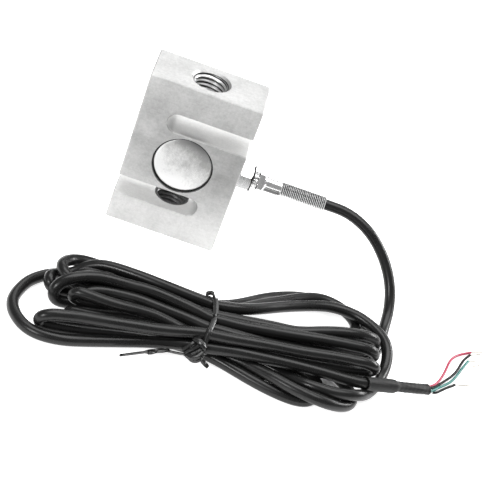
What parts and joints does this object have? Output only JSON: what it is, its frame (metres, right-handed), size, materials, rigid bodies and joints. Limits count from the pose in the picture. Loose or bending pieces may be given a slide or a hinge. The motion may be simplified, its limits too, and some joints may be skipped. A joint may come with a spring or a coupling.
{
  "type": "s type load cell",
  "caption": "S-shaped slotted steel load cell with threaded ends, a sealed gauge bore, a spring-guarded gland and a tied hank of cable ending in bare wires.",
  "frame": {"origin": "centre of the block's lower end face, at the mouth of the lower threaded hole", "axes": "+Z along the load axis, from the lower to the upper threaded hole; +X across the block's width, the way the cable leaves; +Y through its thickness, from the face seen in front to the rear face"},
  "size_m": [0.2101, 0.1224, 0.0762],
  "materials": {
    "nickel_steel": "satin nickel-plated, finely ground",
    "cover_steel": "satin",
    "gland_metal": "bright nickel plate",
    "guard_wire": "bright spring wire",
    "sealant": "matt black",
    "potting": "soft silicone",
    "seal_rubber": "matt black",
    "gauge_foil": "amber polyimide",
    "board": "green circuit board",
    "tinned": "tinned copper",
    "cable_jacket": "satin black PVC",
    "tie_plastic": "black coated wire",
    "sleeve_plastic": "matt black shrink sleeve",
    "wire_red": "gloss",
    "wire_black": "gloss",
    "wire_green": "gloss",
    "wire_white": "gloss"
  },
  "bodies": {
    "root": {"load_cell_body": "nickel_steel", "front_cover": "cover_steel", "rear_cover": "cover_steel", "front_sealant": "sealant", "rear_sealant": "sealant", "gauge_upper_right": "gauge_foil", "gauge_upper_left": "gauge_foil", "gauge_lower_left": "gauge_foil", "gauge_lower_right": "gauge_foil", "terminal_board": "board", "inner_leads": "tinned", "cavity_potting": "potting", "gland_body": "gland_metal", "gland_seal": "seal_rubber", "gland_nut": "gland_metal", "spring_guard": "guard_wire", "cable_inlet": "cable_jacket", "cable_lead": "cable_jacket", "cable_hank": "cable_jacket", "twist_tie": "tie_plastic", "cable_tail": "cable_jacket", "end_sleeve": "sleeve_plastic", "wire_red": "wire_red", "wire_black": "wire_black", "wire_green": "wire_green", "wire_white": "wire_white", "wire_drain": "wire_black"}
  },
  "joints": []
}
